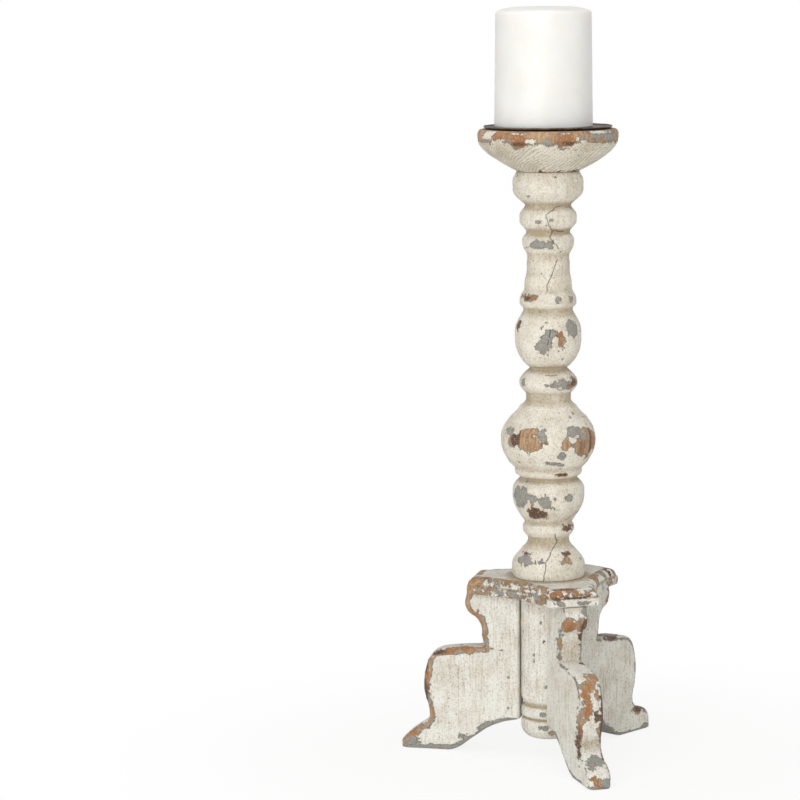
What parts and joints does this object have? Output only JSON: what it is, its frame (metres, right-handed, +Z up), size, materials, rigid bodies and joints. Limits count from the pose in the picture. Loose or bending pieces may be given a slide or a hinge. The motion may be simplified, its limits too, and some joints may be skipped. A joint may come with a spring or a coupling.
{
  "type": "wooden candlestick",
  "caption": "Turned wooden pillar candlestick on a three-legged board foot, with a metal drip pan and a pillar candle that lifts off.",
  "frame": {"origin": "under the middle of the bounding box, on the surface that the three feet stand on", "axes": "+Z up along the turned stem, -Y out along the front leg, +X to the right seen from the front leg"},
  "size_m": [0.2164, 0.1881, 0.593],
  "materials": {
    "painted_wood": "chipped ivory chalk paint over grey primer",
    "bare_wood": "raw",
    "steel": "zinc plated",
    "pan_metal": "dark brown lacquer",
    "wax": "smooth wax",
    "wick": "braided cotton"
  },
  "bodies": {
    "stand": {"leg_front": "painted_wood", "leg_right": "painted_wood", "leg_left": "painted_wood", "centre_post": "painted_wood", "platform": "painted_wood", "stem": "painted_wood", "dish": "painted_wood", "drip_pan": "pan_metal", "pan_screw": "steel", "dish_dowel": "bare_wood", "tie_rod": "steel", "tie_nut": "steel", "tie_washer": "steel", "leg_dowel_upper_front": "bare_wood", "leg_dowel_upper_right": "bare_wood", "leg_dowel_upper_left": "bare_wood", "leg_dowel_lower_front": "bare_wood", "leg_dowel_lower_right": "bare_wood", "leg_dowel_lower_left": "bare_wood", "leg_nail_upper_front": "steel", "leg_nail_upper_right": "steel", "leg_nail_upper_left": "steel", "leg_nail_lower_front": "steel", "leg_nail_lower_right": "steel", "leg_nail_lower_left": "steel", "platform_dowel_front": "bare_wood", "platform_dowel_right": "bare_wood", "platform_dowel_left": "bare_wood"},
    "candle": {"candle": "wax", "candle_wick": "wick"}
  },
  "joints": [
    {"name": "candle_lift", "type": "slide", "parent": "stand", "child": "candle", "axis": [0, 0, 1], "range_m": [0, 0.12]}
  ]
}
